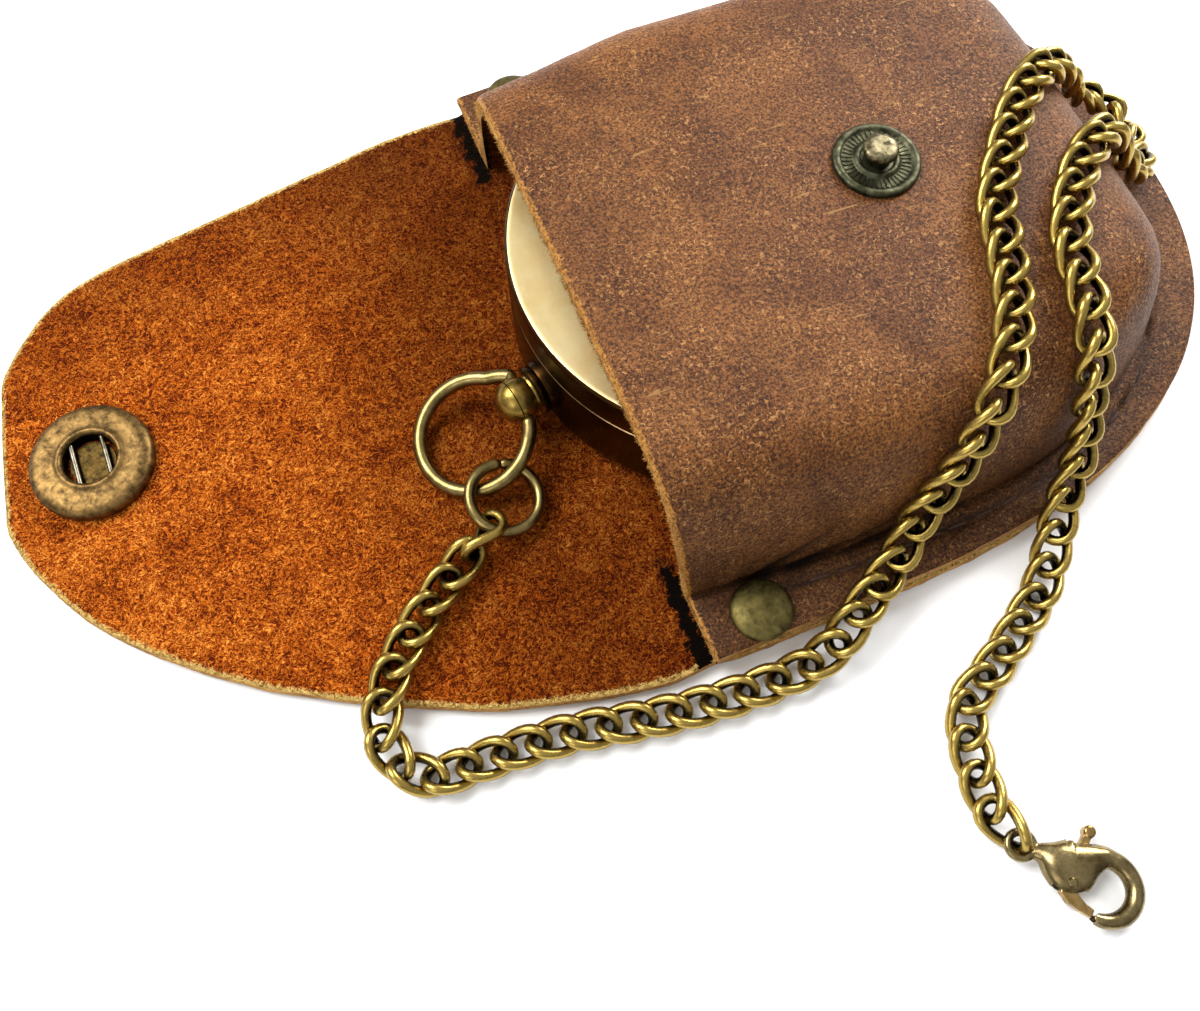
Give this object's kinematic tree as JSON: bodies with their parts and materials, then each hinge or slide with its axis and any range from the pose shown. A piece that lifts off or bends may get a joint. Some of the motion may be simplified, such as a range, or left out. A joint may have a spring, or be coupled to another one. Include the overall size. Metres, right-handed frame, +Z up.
{
  "type": "pocket compass",
  "caption": "Round lidded brass pocket compass half drawn from a moulded leather pouch with a snap flap, on a curb chain with a lobster clasp.",
  "frame": {"origin": "on the rest face, under the middle of the compass", "axes": "+X along the pouch to its closed end, +Z up out of the rest face, +Y across the pouch"},
  "size_m": [0.1457, 0.1224, 0.0236],
  "materials": {
    "hide": "oiled pull-up leather, grain side",
    "suede": "napped flesh side",
    "antique_brass": "worn antique brass",
    "pale_brass": "satin brass",
    "steel": "bright spring steel",
    "blued": "blued",
    "dial": "satin enamel",
    "glass": "clear"
  },
  "bodies": {
    "pouch": {"back_panel": "hide", "front_panel": "hide", "flap_bend": "suede", "rivet_caps": "antique_brass", "rivet_backs": "antique_brass", "snap_stud": "antique_brass", "stud_eyelet": "antique_brass", "compass_case": "antique_brass", "lid_hinge_pin": "antique_brass", "dial": "dial", "pivot_pin": "steel", "spacer_ring": "antique_brass", "glass": "glass", "bezel_ring": "antique_brass", "knob_collar": "antique_brass", "chain_corner": "antique_brass", "chain_knee": "antique_brass", "chain_rise": "antique_brass", "chain_return": "antique_brass"},
    "flap": {"flap": "suede", "snap_socket": "antique_brass", "snap_spring": "steel", "snap_cap": "antique_brass", "chain_flap": "antique_brass"},
    "lid": {"lid": "pale_brass"},
    "needle": {"needle": "blued", "needle_cap": "antique_brass"},
    "button": {"push_button": "pale_brass", "button_spring": "steel", "lid_catch": "steel"},
    "bow": {"bow": "pale_brass", "jump_ring": "antique_brass"},
    "chain_edge": {"chain_edge": "antique_brass"},
    "chain_tail": {"chain_tail": "antique_brass"},
    "clasp": {"clasp_body": "antique_brass", "clasp_rivet": "antique_brass"},
    "lever": {"clasp_lever": "pale_brass"}
  },
  "joints": [
    {"name": "flap_fold", "type": "hinge", "parent": "pouch", "child": "flap", "pos_m": [-0.02759, -0.00531, 0.0072], "axis": [0, 1, 0], "range_deg": [0, 90], "deforming": ["flap_bend", "chain_corner", "chain_knee"]},
    {"name": "bow_swing", "type": "hinge", "parent": "pouch", "child": "bow", "pos_m": [-0.02759, -0.00531, 0.0072], "axis": [0, 1, 0], "range_deg": [0, 90]},
    {"name": "chain_lift", "type": "hinge", "parent": "pouch", "child": "chain_edge", "pos_m": [-0.019, -0.0445, 0.0016], "axis": [0.1761, 0.9773, -0.118], "range_deg": [0, 65]},
    {"name": "lid_hinge", "type": "hinge", "parent": "pouch", "child": "lid", "pos_m": [0.02592, 0.00499, 0.01245], "axis": [-0.1891, 0.982, 0], "range_deg": [0, 3]},
    {"name": "needle_spin", "type": "hinge", "parent": "pouch", "child": "needle", "pos_m": [0, 0, 0.0077], "axis": [0, 0, 1], "continuous": true},
    {"name": "button_press", "type": "slide", "parent": "pouch", "child": "button", "axis": [0.982, 0.1891, 0], "range_m": [0, 0.0005], "stiffness_N_per_m": 500, "springref_m": -0.001},
    {"name": "tail_swing", "type": "hinge", "parent": "pouch", "child": "chain_tail", "pos_m": [0.0142, -0.0494, 0.00155], "axis": [0, 0, 1], "range_deg": [-3, 3]},
    {"name": "clasp_swivel", "type": "hinge", "parent": "chain_tail", "child": "clasp", "pos_m": [0.0021, -0.0697, 0.00165], "axis": [0, 0, 1], "range_deg": [-6, 6]},
    {"name": "lever_open", "type": "hinge", "parent": "clasp", "child": "lever", "pos_m": [0.00463, -0.0748, 0.00165], "axis": [0, 0, 1], "range_deg": [0, 15], "stiffness_Nm_per_rad": 0.002, "springref_deg": -17.19}
  ],
  "couplings": [
    {"joint": "bow_swing", "follows": "flap_fold", "ratio": 1},
    {"joint": "chain_lift", "follows": "flap_fold", "ratio": 0.717}
  ]
}
